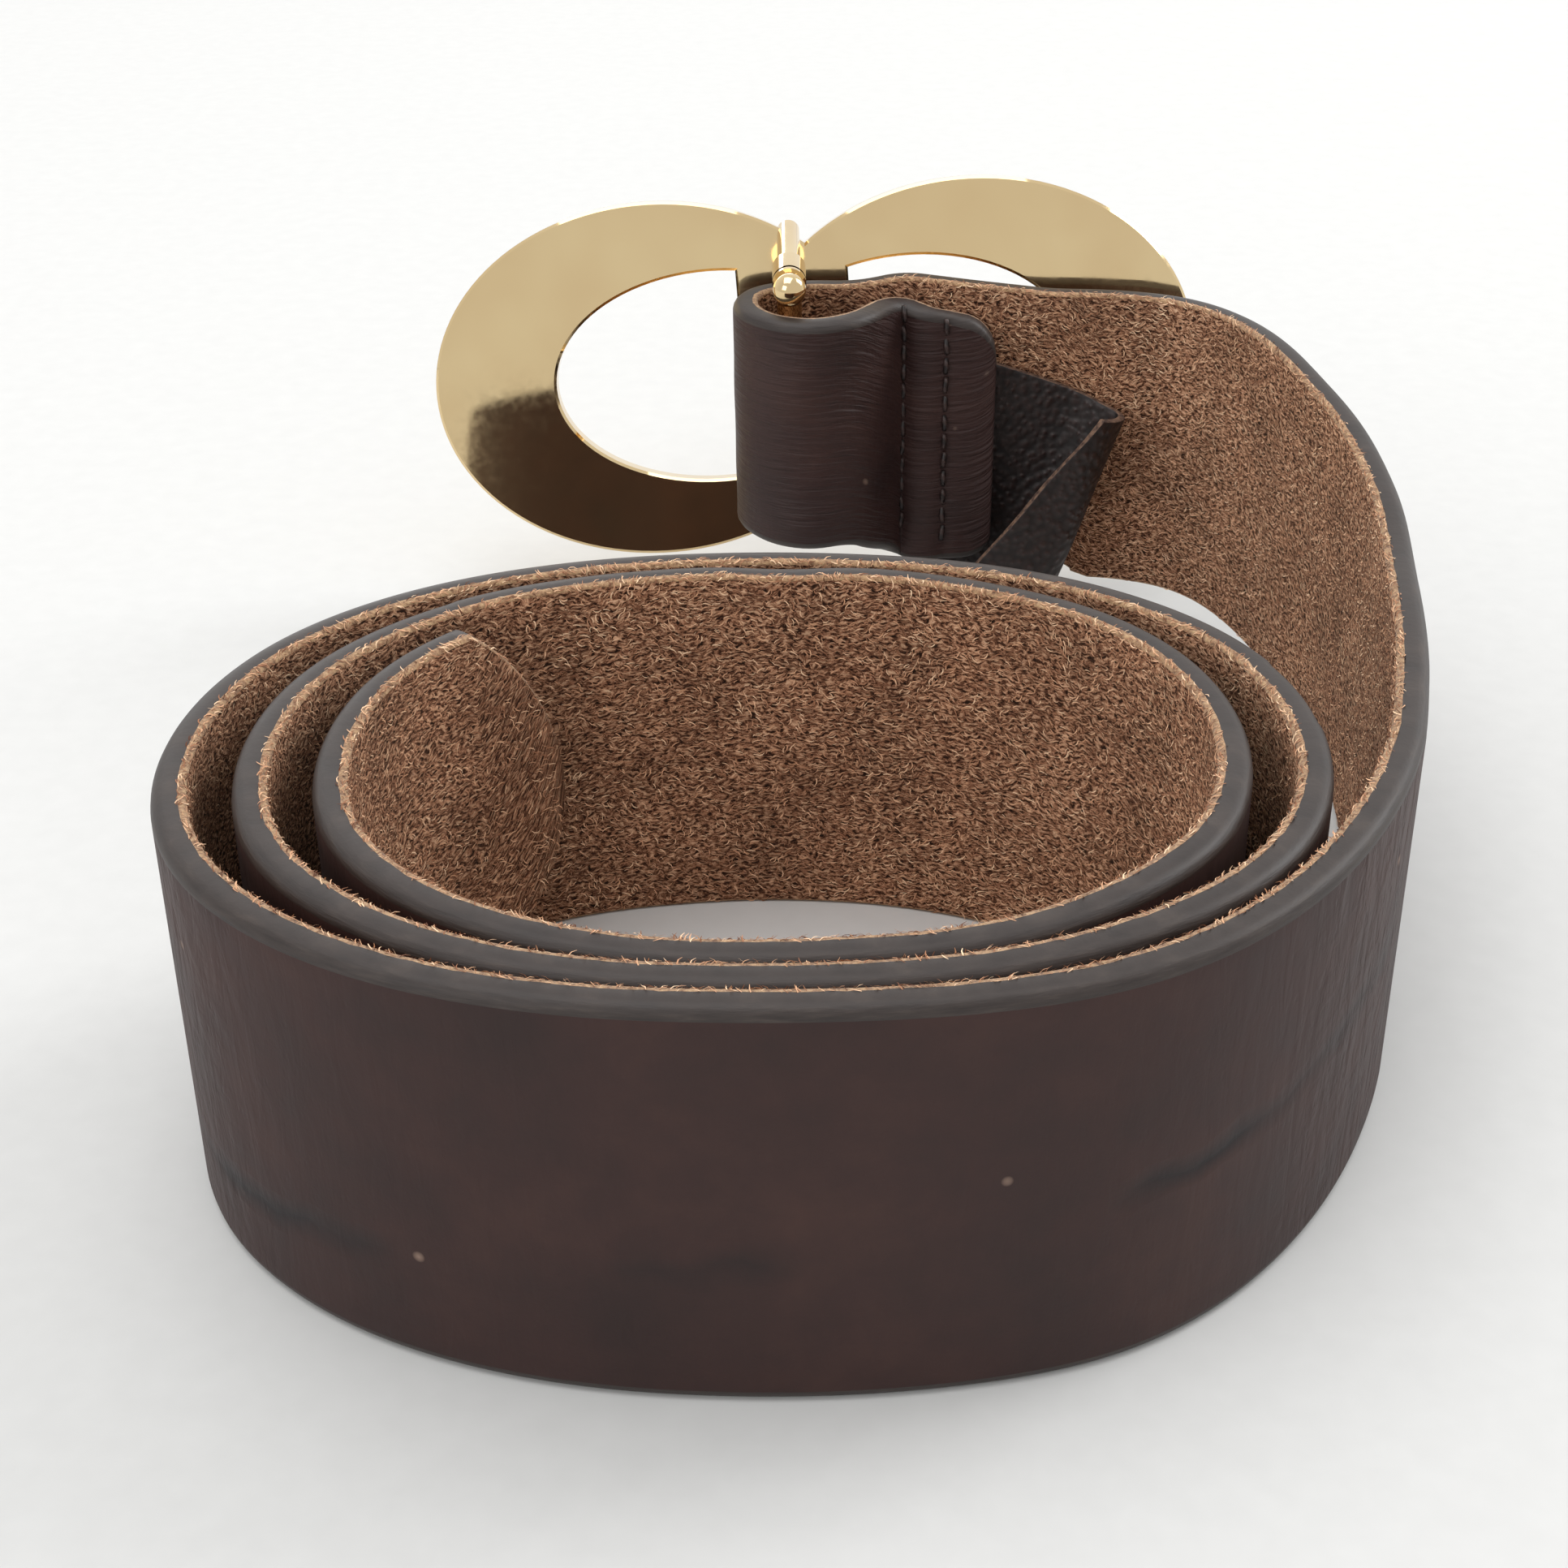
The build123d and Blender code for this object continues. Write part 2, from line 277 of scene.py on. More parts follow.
def napPlace(s, z, top, x, y):
    # where loose fibres stand on the flesh side, 0 to 1; hidden walls get none
    if s < innerTurns:
        return 1.0
    if x > 30 and y > -62 or y > 5:
        return 1.0 if s < foldAt - 26 else 0.0
    return smoothStep(z, top - 12, top - 8)


def meshObject(name, points, faces, materials=()):
    mesh = bpy.data.meshes.new(name)
    mesh.from_pydata([tuple(p) for p in points], [], faces)
    for material in materials:
        mesh.materials.append(material)
    thing = bpy.data.objects.new(name, mesh)
    scene.collection.objects.link(thing)
    return thing


zoneSlots = {"grain": 0, "paint": 1, "raw": 2, "flesh": 3}


def makeStrap(cut, materials):
    stations = stationsOf(cut)
    bottom, top = edgeHeights(cut, stations)
    places = np.stack([np.interp(stations, lineLengths, linePlaces[:, k]) for k in (0, 1)], 1)
    directions = np.stack([np.interp(stations, lineLengths, lineDirections[:, k]) for k in (0, 1)], 1)
    directions /= np.linalg.norm(directions, axis=1)[:, None]
    points, uvs, nap, along, flex, zones = [], [], [], [], [], None
    for i, s in enumerate(stations):
        (x, y), (dx, dy) = places[i], directions[i]
        rag = 0.16 * noise.noise(Vector((s * 1.1, 0, 9))) + 0.12 * noise.noise(Vector((s * 0.25, 0, 2)))
        section, zones = strapSection(cut, bottom[i], top[i], rag)
        sides = abs(x - roll["centre"][0]) / roll["halfWidth"]
        for n, z in section:
            out = n + faceShift(s, n, z, x, y)
            points.append(((x - dy * out) * mm, (y + dx * out) * mm, z * mm))
            uvs.append((s * mm, (z - bottom[i]) * mm))
            nap.append(napPlace(s, z, top[i], x, y))
            along.append((dx, dy, 0))
            flex.append(smoothStep(sides, 0.62, 0.98))
    count = len(zones)
    faces, slots = [], []
    for i in range(len(stations) - 1):
        for k in range(count):
            j = (k + 1) % count
            faces.append((i * count + k, (i + 1) * count + k, (i + 1) * count + j, i * count + j))
            slots.append(zoneSlots[zones[k]])
    last = (len(stations) - 1) * count
    faces.append(tuple(range(count)))
    faces.append(tuple(last + k for k in reversed(range(count))))
    slots += [1, 1]
    thing = meshObject("strapWork", points, faces, materials)
    mesh = thing.data
    mesh.polygons.foreach_set("material_index", slots)
    mesh.polygons.foreach_set("use_smooth", [True] * len(faces))
    layer = mesh.uv_layers.new(name="UVMap")
    for loop in mesh.loops:
        layer.data[loop.index].uv = uvs[loop.vertex_index]
    for name, kind, values in (("nap", "FLOAT", nap), ("flex", "FLOAT", flex)):
        mesh.attributes.new(name, kind, "POINT").data.foreach_set("value", values)
    direction = mesh.attributes.new("along", "FLOAT_VECTOR", "POINT")
    direction.data.foreach_set("vector", [c for v in along for c in v])
    work = bmesh.new()
    work.from_mesh(mesh)
    bmesh.ops.recalc_face_normals(work, faces=work.faces)
    work.to_mesh(mesh)
    work.free()
    print("strap", round(strapLength), "mm,", len(stations), "stations,", len(faces), "faces")
    return thing


def strapPlace(tree):
    # the strap's own place in millimetres: along it, then up it
    uv = addNode(tree, "ShaderNodeUVMap", {"uv_map": "UVMap"})
    scaled = addNode(tree, "ShaderNodeVectorMath", {"operation": "SCALE"}, Vector=uv.outputs[0], Scale=1 / mm)
    return scaled.outputs[0]


def grainLeather():
    # pull-up cowhide, waxed dark brown: soft matt face, faint mottling, pores where it bends
    material, tree = newMaterial("waxedGrainLeather")
    flat = strapPlace(tree)
    flex = addNode(tree, "ShaderNodeAttribute", {"attribute_name": "flex"}).outputs["Fac"]
    mottle = addNode(tree, "ShaderNodeTexNoise", Vector=flat, Scale=0.07, Detail=5, Roughness=0.62)
    colour = ramp(tree, mottle.outputs[0], [(0.3, "#291816"), (0.52, "#331E1B"), (0.72, "#3D2621")])
    specks = addNode(tree, "ShaderNodeTexVoronoi", Vector=flat, Scale=0.1)
    speckle = ramp(tree, specks.outputs["Distance"], [(0.0, 1.0), (0.045, 0.35), (0.06, 0.0)])
    colour = addNode(tree, "ShaderNodeMix", {"data_type": "RGBA"}, in0=speckle, in6=colour,
                     in7=linearColour("#8A7264")).outputs[2]
    # long shallow crease that wanders across the front: dented in the bump, and darkened in the colour as painted
    # shade
    warp = addNode(tree, "ShaderNodeTexNoise", Vector=flat, Scale=0.11, Detail=3)
    apart = addNode(tree, "ShaderNodeSeparateXYZ", Vector=flat)
    rise = addNode(tree, "ShaderNodeMath", {"operation": "MULTIPLY"}, in0=apart.outputs[0], in1=0.11)
    height = addNode(tree, "ShaderNodeMath", {"operation": "SUBTRACT"}, in0=apart.outputs[1], in1=rise.outputs[0])
    sway = addNode(tree, "ShaderNodeMath", {"operation": "MULTIPLY_ADD"}, in0=warp.outputs[0], in1=5.0,
                   in2=height.outputs[0])
    offset = addNode(tree, "ShaderNodeMath", {"operation": "ADD"}, in0=sway.outputs[0], in1=53.5)
    away = addNode(tree, "ShaderNodeMath", {"operation": "ABSOLUTE"}, in0=offset.outputs[0])
    creaseSpan = addNode(tree, "ShaderNodeMapRange", Value=away.outputs[0], in1=0.15, in2=2.2, in3=1.0, in4=0.0)
    creaseFade = addNode(tree, "ShaderNodeTexNoise", Vector=flat, Scale=0.045, Detail=2)
    creaseOn = ramp(tree, creaseFade.outputs[0], [(0.42, 0.0), (0.6, 1.0)])
    creaseAndShade = addNode(tree, "ShaderNodeMath", {"operation": "MULTIPLY"}, in0=creaseSpan.outputs[0], in1=creaseOn)
    # the crease line is painted darker: painted shade in the crease
    colour = addNode(tree, "ShaderNodeMix", {"data_type": "RGBA"}, in0=creaseAndShade.outputs[0], in6=colour,
                     in7=linearColour("#1A1213")).outputs[2]
    # pores are about 0.5 mm wide and 1 mm tall
    tall = addNode(tree, "ShaderNodeMapping", Vector=flat, Scale=(1.25, 0.55, 1))
    pores = addNode(tree, "ShaderNodeTexVoronoi", Vector=tall.outputs[0], Scale=1.0, Randomness=0.9)
    pits = ramp(tree, pores.outputs["Distance"], [(0.05, 0.0), (0.3, 1.0)])
    sparse = addNode(tree, "ShaderNodeTexNoise", Vector=flat, Scale=0.3, Detail=3)
    poreOn = addNode(tree, "ShaderNodeMapRange", Value=sparse.outputs[0], in1=0.46, in2=0.62, in3=0.0, in4=1.0)
    poreDepth = addNode(tree, "ShaderNodeMath", {"operation": "MULTIPLY"}, in0=poreOn.outputs[0], in1=flex)
    poreSoft = addNode(tree, "ShaderNodeMath", {"operation": "MULTIPLY_ADD"}, in0=poreDepth.outputs[0], in1=0.9,
                       in2=0.06)
    pitHeight = addNode(tree, "ShaderNodeMath", {"operation": "MULTIPLY"}, in0=pits, in1=poreSoft.outputs[0])
    # the pits are painted darker where the pores open deep: painted shade in the pores
    shade = ramp(tree, pores.outputs["Distance"], [(0.1, 0.35), (0.35, 1.0)])
    colour = addNode(tree, "ShaderNodeMix", {"data_type": "RGBA", "blend_type": "MULTIPLY"},
                     in0=poreDepth.outputs[0], in6=colour, in7=shade).outputs[2]
    # bending wrinkles run up the strap, a millimetre or two apart
    folds = addNode(tree, "ShaderNodeMapping", Vector=flat, Scale=(0.55, 0.12, 1))
    wrinkle = addNode(tree, "ShaderNodeTexNoise", Vector=folds.outputs[0], Scale=1.0, Detail=4, Distortion=0.6)
    wrinkleDepth = addNode(tree, "ShaderNodeMath", {"operation": "MULTIPLY_ADD"}, in0=flex, in1=1.1, in2=0.16)
    wrinkleHeight = addNode(tree, "ShaderNodeMath", {"operation": "MULTIPLY"}, in0=wrinkle.outputs[0],
                            in1=wrinkleDepth.outputs[0])
    # round the fold the face is pushed into level creases, closest where the row of stitches holds it
    across = addNode(tree, "ShaderNodeMapping", Vector=flat, Scale=(0.16, 1.5, 1))
    level = addNode(tree, "ShaderNodeTexNoise", Vector=across.outputs[0], Scale=1.0, Detail=3, Distortion=0.5)
    onFold = addNode(tree, "ShaderNodeMapRange", Value=apart.outputs[0], in1=foldStart + 22, in2=foldStart + 40,
                     in3=0.0, in4=0.9)
    levelHeight = addNode(tree, "ShaderNodeMath", {"operation": "MULTIPLY_ADD"}, in0=level.outputs[0],
                          in1=onFold.outputs[0], in2=wrinkleHeight.outputs[0])
    fine = addNode(tree, "ShaderNodeTexNoise", Vector=flat, Scale=2.6, Detail=3)
    bumpFine = addNode(tree, "ShaderNodeBump", Strength=0.25, Distance=0.00005, Height=fine.outputs[0])
    bumpPores = addNode(tree, "ShaderNodeBump", Strength=0.8, Distance=0.00022, Height=pitHeight.outputs[0],
                        Normal=bumpFine.outputs[0])
    bumpFolds = addNode(tree, "ShaderNodeBump", Strength=0.8, Distance=0.0007, Height=levelHeight.outputs[0],
                        Normal=bumpPores.outputs[0])
    bumpCrease = addNode(tree, "ShaderNodeBump", {"invert": True}, Strength=0.5, Distance=0.0004,
                         Height=creaseAndShade.outputs[0], Normal=bumpFolds.outputs[0])
    rough = addNode(tree, "ShaderNodeMapRange", Value=mottle.outputs[0], in3=0.5, in4=0.64)
    finishMaterial(tree, Base_Color=colour, Roughness=rough.outputs[0], IOR=1.5, Specular_IOR_Level=0.34,
                   Sheen_Weight=0.03, Sheen_Roughness=0.45, Sheen_Tint=linearColour("#B9B4B8"),
                   Normal=bumpCrease.outputs[0])
    return material


def edgePaint():
    # edge dressing rubbed on with wax: grey brown satin, drawn out along the cut
    material, tree = newMaterial("burnishedEdgePaint")
    flat = strapPlace(tree)
    drawn = addNode(tree, "ShaderNodeMapping", Vector=flat, Scale=(0.22, 2.2, 1))
    streak = addNode(tree, "ShaderNodeTexNoise", Vector=drawn.outputs[0], Scale=1.0, Detail=5, Roughness=0.6)
    colour = ramp(tree, streak.outputs[0], [(0.3, "#2A2321"), (0.55, "#372F2C"), (0.75, "#463D38")])
    bump = addNode(tree, "ShaderNodeBump", Strength=0.5, Distance=0.0002, Height=streak.outputs[0])
    rough = addNode(tree, "ShaderNodeMapRange", Value=streak.outputs[0], in3=0.38, in4=0.6)
    finishMaterial(tree, Base_Color=colour, Roughness=rough.outputs[0], IOR=1.5, Specular_IOR_Level=0.35,
                   Coat_Weight=0.06, Coat_Roughness=0.35, Normal=bump.outputs[0])
    return material


def rawEdge():
    # undyed corner of the hide where the cut left its fibres open: dry, tan, ragged
    material, tree = newMaterial("rawHideEdge")
    place = addNode(tree, "ShaderNodeTexCoord").outputs["Object"]
    rag = addNode(tree, "ShaderNodeTexNoise", Vector=place, Scale=1900, Detail=5, Roughness=0.7)
    colour = ramp(tree, rag.outputs[0], [(0.34, "#6B4A35"), (0.5, "#A98462"), (0.68, "#CDAA80")])
    bump = addNode(tree, "ShaderNodeBump", Strength=1.0, Distance=0.0003, Height=rag.outputs[0])
    finishMaterial(tree, Base_Color=colour, Roughness=0.95, IOR=1.45, Sheen_Weight=0.2, Normal=bump.outputs[0])
    return material


def fleshSuede():
    # unsealed flesh side of the hide: brown nap in patches, painted dark between the fibres as painted shade
    material, tree = newMaterial("rawFleshSuede")
    flat = strapPlace(tree)
    swirl = addNode(tree, "ShaderNodeTexNoise", Vector=flat, Scale=0.6, Detail=2)
    pushed = addNode(tree, "ShaderNodeVectorMath", {"operation": "MULTIPLY_ADD"}, in0=swirl.outputs[1],
                     in1=(1.6, 1.6, 0), in2=flat)
    lying = addNode(tree, "ShaderNodeMapping", Vector=pushed.outputs[0], Scale=(1.3, 3.4, 1))
    nap = addNode(tree, "ShaderNodeTexNoise", Vector=lying.outputs[0], Scale=1.0, Detail=5, Roughness=0.68)
    patches = addNode(tree, "ShaderNodeTexNoise", Vector=flat, Scale=0.09, Detail=5, Roughness=0.65)
    # low nap is painted near black: painted shade in the gaps between the fibres; the lighter stops are the nap's own
    # tone
    colour = ramp(tree, nap.outputs[0], [(0.4, "#23130D"), (0.47, "#6E4633"), (0.53, "#BE8A6A"), (0.62, "#F2C8A4")])
    tone = ramp(tree, patches.outputs[0], [(0.34, 0.62), (0.62, 1.0)])
    colour = addNode(tree, "ShaderNodeMix", {"data_type": "RGBA", "blend_type": "MULTIPLY"}, in0=1.0, in6=colour,
                     in7=tone).outputs[2]
    bump = addNode(tree, "ShaderNodeBump", Strength=0.9, Distance=0.0004, Height=nap.outputs[0])
    finishMaterial(tree, Base_Color=colour, Roughness=0.92, IOR=1.45, Specular_IOR_Level=0.2,
                   Sheen_Weight=0.08, Sheen_Roughness=0.6, Sheen_Tint=linearColour("#D9B894"), Normal=bump.outputs[0])
    return material


def looseFibre():
    # single collagen fibres pulled up from the flesh side: light tan, each its own tone
    material, tree = newMaterial("looseHideFibre")
    tone = addNode(tree, "ShaderNodeAttribute", {"attribute_name": "tone"}).outputs["Fac"]
    place = addNode(tree, "ShaderNodeTexCoord").outputs["Object"]
    patches = addNode(tree, "ShaderNodeTexNoise", Vector=place, Scale=80, Detail=3)
    mixed = addNode(tree, "ShaderNodeMath", {"operation": "MULTIPLY_ADD"}, in0=patches.outputs[0], in1=0.8, in2=-0.4)
    shade = addNode(tree, "ShaderNodeMath", {"operation": "ADD"}, in0=tone, in1=mixed.outputs[0])
    colour = ramp(tree, shade.outputs[0], [(0.0, "#5E3B2B"), (0.35, "#AC7A5C"), (0.7, "#E6B48E"), (1.0, "#FFDDB8")])
    finishMaterial(tree, Base_Color=colour, Roughness=0.85, IOR=1.5, Specular_IOR_Level=0.25)
    return material


def waxedThread():
    # bonded sewing thread, waxed: nearly black, a twist about every half millimetre
    material, tree = newMaterial("waxedThread")
    place = addNode(tree, "ShaderNodeTexCoord").outputs["Object"]
    twist = addNode(tree, "ShaderNodeTexWave", {"bands_direction": "DIAGONAL"}, Vector=place, Scale=320,
                    Distortion=0.6, Detail=1.0)
    # the colour follows the twist, darker in the grooves between the plies: painted shade
    colour = ramp(tree, twist.outputs[1], [(0.2, "#1D1413"), (0.8, "#3A2A27")])
    bump = addNode(tree, "ShaderNodeBump", Strength=0.7, Distance=0.00012, Height=twist.outputs[1])
    finishMaterial(tree, Base_Color=colour, Roughness=0.5, IOR=1.5, Normal=bump.outputs[0])
    return material


def paleGold():
    # zinc casting polished and plated in pale gold: mirror bright, with faint polishing waves
    material, tree = newMaterial("palePolishedGoldPlate")
    place = addNode(tree, "ShaderNodeTexCoord").outputs["Object"]
    waves = addNode(tree, "ShaderNodeTexNoise", Vector=place, Scale=70, Detail=2)
    rub = addNode(tree, "ShaderNodeTexNoise", Vector=place, Scale=900, Detail=4)
    colour = ramp(tree, waves.outputs[0], [(0.3, "#DFC496"), (0.7, "#E8D0A2")])
    rough = addNode(tree, "ShaderNodeMapRange", Value=rub.outputs[0], in1=0.35, in2=0.75, in3=0.045, in4=0.1)
    bump = addNode(tree, "ShaderNodeBump", Strength=0.12, Distance=0.0004, Height=waves.outputs[0])
    finishMaterial(tree, Base_Color=colour, Metallic=1.0, Roughness=rough.outputs[0], Normal=bump.outputs[0])
    return material


def tabLeather():
    # thin calf pressed with a small pebble print, one millimetre across
    material, tree = newMaterial("pebbledCalf")
    place = addNode(tree, "ShaderNodeTexCoord").outputs["Object"]
    pebble = addNode(tree, "ShaderNodeTexVoronoi", {"feature": "SMOOTH_F1"}, Vector=place, Scale=1150)
    waves = addNode(tree, "ShaderNodeTexNoise", Vector=place, Scale=220, Detail=3)
    domes = ramp(tree, pebble.outputs["Distance"], [(0.1, 1.0), (0.65, 0.0)])
    # the hollows between the pebbles are painted darker than the domes: painted shade
    colour = ramp(tree, domes, [(0.0, "#170F0E"), (0.5, "#241816"), (1.0, "#33221F")])
    bump = addNode(tree, "ShaderNodeBump", Strength=0.8, Distance=0.00022, Height=domes)
    bumpWaves = addNode(tree, "ShaderNodeBump", Strength=0.5, Distance=0.0006, Height=waves.outputs[0],
                        Normal=bump.outputs[0])
    rough = addNode(tree, "ShaderNodeMapRange", Value=domes, in3=0.62, in4=0.42)
    finishMaterial(tree, Base_Color=colour, Roughness=rough.outputs[0], IOR=1.5, Normal=bumpWaves.outputs[0])
    return material


finishes = {
    "grain": grainLeather(), "paint": edgePaint(), "raw": rawEdge(), "flesh": fleshSuede(),
    "fibre": looseFibre(), "thread": waxedThread(), "gold": paleGold(), "tab": tabLeather(),
}
print("finishes made")

strapWork = makeStrap(strapCut, [finishes[k] for k in ("grain", "paint", "raw", "flesh")])


# loose fibres
def fibreShape(name, length, width, bow, lift):
    # one curved hair lying on the ground plane, both ends tucked in
    points, faces = [], []
    for i, wide in enumerate((0.5, 1.0, 0.9, 0.35)):
        t = i / 3
        x, y = (t - 0.5) * length, bow * length * (1 - (2 * t - 1) ** 2)
        z = lift * length * (1 - (2 * t - 1) ** 2)
        points += [(x * mm, (y - wide * width / 2) * mm, z * mm), (x * mm, (y + wide * width / 2) * mm, z * mm)]
    for i in range(3):
        faces.append((2 * i, 2 * i + 2, 2 * i + 3, 2 * i + 1))
    return meshObject(name, points, faces)


def addInput(tree, name, kind, value=None):
    socket = tree.interface.new_socket(name, in_out="INPUT", socket_type=kind)
    if value is not None:
        socket.default_value = value


def fibreTree():
    tree = bpy.data.node_groups.new("fibresOnHide", "GeometryNodeTree")
    addInput(tree, "Geometry", "NodeSocketGeometry")
    addInput(tree, "Fibre", "NodeSocketObject")
    addInput(tree, "Where", "NodeSocketString")
    addInput(tree, "Per Square Metre", "NodeSocketFloat", 3e6)
    addInput(tree, "Spread", "NodeSocketFloat", 0.7)
    addInput(tree, "Stand Up", "NodeSocketFloat", 0.3)
    addInput(tree, "Shortest", "NodeSocketFloat", 0.6)
    addInput(tree, "Longest", "NodeSocketFloat", 1.3)
    addInput(tree, "Seed", "NodeSocketInt", 1)
    addInput(tree, "Finish", "NodeSocketMaterial")
    tree.interface.new_socket("Geometry", in_out="OUTPUT", socket_type="NodeSocketGeometry")
    given = tree.nodes.new("NodeGroupInput").outputs
    where = addNode(tree, "GeometryNodeInputNamedAttribute", {"data_type": "FLOAT"}, Name=given["Where"])
    amount = addNode(tree, "ShaderNodeMath", {"operation": "MULTIPLY"}, in0=where.outputs[0],
                     in1=given["Per Square Metre"])
    strewn = addNode(tree, "GeometryNodeDistributePointsOnFaces", Mesh=given["Geometry"], Density=amount.outputs[0],
                     Seed=given["Seed"])
    tones = addNode(tree, "FunctionNodeRandomValue", {"data_type": "FLOAT"}, Seed=3)
    toned = addNode(tree, "GeometryNodeStoreNamedAttribute", {"data_type": "FLOAT", "domain": "POINT"},
                    Geometry=strewn.outputs[0], Name="tone", Value=tones.outputs[1])
    lie = addNode(tree, "GeometryNodeInputNamedAttribute", {"data_type": "FLOAT_VECTOR"}, Name="along")
    upright = addNode(tree, "FunctionNodeAlignRotationToVector", {"axis": "Z"}, Vector=strewn.outputs[1])
    laid = addNode(tree, "FunctionNodeAlignRotationToVector", {"axis": "X", "pivot_axis": "Z"},
                   Rotation=upright.outputs[0], Vector=lie.outputs[0])
    # neighbours lean the same way, as if stroked
    where3d = addNode(tree, "GeometryNodeInputPosition")
    strokes = addNode(tree, "ShaderNodeTexNoise", Vector=where3d.outputs[0], Scale=260, Detail=1)
    stroke = addNode(tree, "ShaderNodeMapRange", Value=strokes.outputs[0], in1=0.3, in2=0.7, in3=-1.3, in4=1.3)
    least = addNode(tree, "ShaderNodeMath", {"operation": "MULTIPLY"}, in0=given["Spread"], in1=-1.0)
    stray = addNode(tree, "FunctionNodeRandomValue", {"data_type": "FLOAT"}, in2=least.outputs[0],
                    in3=given["Spread"], Seed=5)
    facing = addNode(tree, "FunctionNodeRandomValue", {"data_type": "INT"}, in4=0, in5=1, Seed=6)
    about = addNode(tree, "ShaderNodeMath", {"operation": "MULTIPLY_ADD"}, in0=facing.outputs[2], in1=pi,
                    in2=stray.outputs[1])
    whole = addNode(tree, "ShaderNodeMath", {"operation": "ADD"}, in0=about.outputs[0], in1=stroke.outputs[0])
    spin = addNode(tree, "FunctionNodeAxisAngleToRotation", Axis=(0, 0, 1), Angle=whole.outputs[0])
    spun = addNode(tree, "FunctionNodeRotateRotation", {"rotation_space": "LOCAL"}, Rotation=laid.outputs[0],
                   Rotate_By=spin.outputs[0])
    tiltBy = addNode(tree, "FunctionNodeRandomValue", {"data_type": "FLOAT"}, in2=0.0, in3=given["Stand Up"], Seed=8)
    tiltDown = addNode(tree, "ShaderNodeMath", {"operation": "MULTIPLY"}, in0=tiltBy.outputs[1], in1=-1.0)
    tip = addNode(tree, "FunctionNodeAxisAngleToRotation", Axis=(0, 1, 0), Angle=tiltDown.outputs[0])
    tipped = addNode(tree, "FunctionNodeRotateRotation", {"rotation_space": "LOCAL"}, Rotation=spun.outputs[0],
                     Rotate_By=tip.outputs[0])
    size = addNode(tree, "FunctionNodeRandomValue", {"data_type": "FLOAT"}, in2=given["Shortest"],
                   in3=given["Longest"], Seed=9)
    hair = addNode(tree, "GeometryNodeObjectInfo", Object=given["Fibre"])
    placed = addNode(tree, "GeometryNodeInstanceOnPoints", Points=toned.outputs[0], Instance=hair.outputs["Geometry"],
                     Rotation=tipped.outputs[0], Scale=size.outputs[1])
    real = addNode(tree, "GeometryNodeRealizeInstances", Geometry=placed.outputs[0])
    dressed = addNode(tree, "GeometryNodeSetMaterial", Geometry=real.outputs[0], Material=given["Finish"])
    addNode(tree, "NodeGroupOutput", Geometry=dressed.outputs[0])
    return tree


def runTree(base, tree, name, settings):
    # the evaluated result becomes a plain mesh, and the modifier goes
    modifier = base.modifiers.new("grow", "NODES")
    modifier.node_group = tree
    for item in tree.interface.items_tree:
        if item.in_out == "INPUT" and item.name in settings:
            modifier[item.identifier] = settings[item.name]
    base.update_tag()
    bpy.context.view_layer.update()
    graph = bpy.context.evaluated_depsgraph_get()
    mesh = bpy.data.meshes.new_from_object(base.evaluated_get(graph), preserve_all_data_layers=True,
                                           depsgraph=graph)
    base.modifiers.remove(modifier)
    thing = bpy.data.objects.new(name, mesh)
    mesh.name = name
    scene.collection.objects.link(thing)
    return thing


def partOfStrap(name, test, zones):
    # a copy of the strap with only the faces that grow fibres, for the tree to work on
    thing = bpy.data.objects.new(name, strapWork.data.copy())
    scene.collection.objects.link(thing)
    work = bmesh.new()
    work.from_mesh(thing.data)
    uvLayer = work.loops.layers.uv[0]
    gone = [f for f in work.faces if f.material_index not in zones
            or not test(f.loops[0][uvLayer].uv[0] / mm, f.calc_center_median() / mm)]
    bmesh.ops.delete(work, geom=gone, context="FACES")
    work.to_mesh(thing.data)
    work.free()
    return thing


fibreCut = {
    "length": 0.95, "width": 0.11, "bow": 0.2, "lift": 0.12,
    "perSquareMillimetre": 2.9, "spread": 0.55, "standUp": 0.3,
    "edgePerSquareMillimetre": 5.5, "edgeStandUp": 0.9,
}
hair = fibreShape("hair", fibreCut["length"], fibreCut["width"], fibreCut["bow"], fibreCut["lift"])
fibres = fibreTree()
everywhere = "everywhere"
strapWork.data.attributes.new(everywhere, "FLOAT", "POINT").data.foreach_set(
    "value", [1.0] * len(strapWork.data.vertices))
growths = {
    "rollFibres": (lambda s, c: s < innerTurns, {zoneSlots["flesh"]}, "nap",
                   fibreCut["perSquareMillimetre"], fibreCut["standUp"], 11),
    "wallFibres": (lambda s, c: s >= innerTurns, {zoneSlots["flesh"]}, "nap",
                   fibreCut["perSquareMillimetre"], fibreCut["standUp"], 12),
    "edgeFibres": (lambda s, c: c.z > 30 and s < foldAt - 16, {zoneSlots["raw"]}, everywhere,
                   fibreCut["edgePerSquareMillimetre"], fibreCut["edgeStandUp"], 13),
}
fibrePieces = []
for name, (test, zones, where, thick, standUp, seed) in growths.items():
    ground = partOfStrap("ground", test, zones)
    grown = runTree(ground, fibres, name, {
        "Fibre": hair, "Where": where, "Per Square Metre": thick * 1e6, "Spread": fibreCut["spread"],
        "Stand Up": standUp, "Shortest": 0.55, "Longest": 1.25, "Seed": seed, "Finish": finishes["fibre"]})
    bpy.data.objects.remove(ground)
    fibrePieces.append(grown)
    print(name, len(grown.data.polygons), "faces")
bpy.data.objects.remove(hair)


# adjustment holes
punch = {"radius": 2.5, "count": 5, "first": 70.0, "pitch": 20.0, "depth": 4.6}


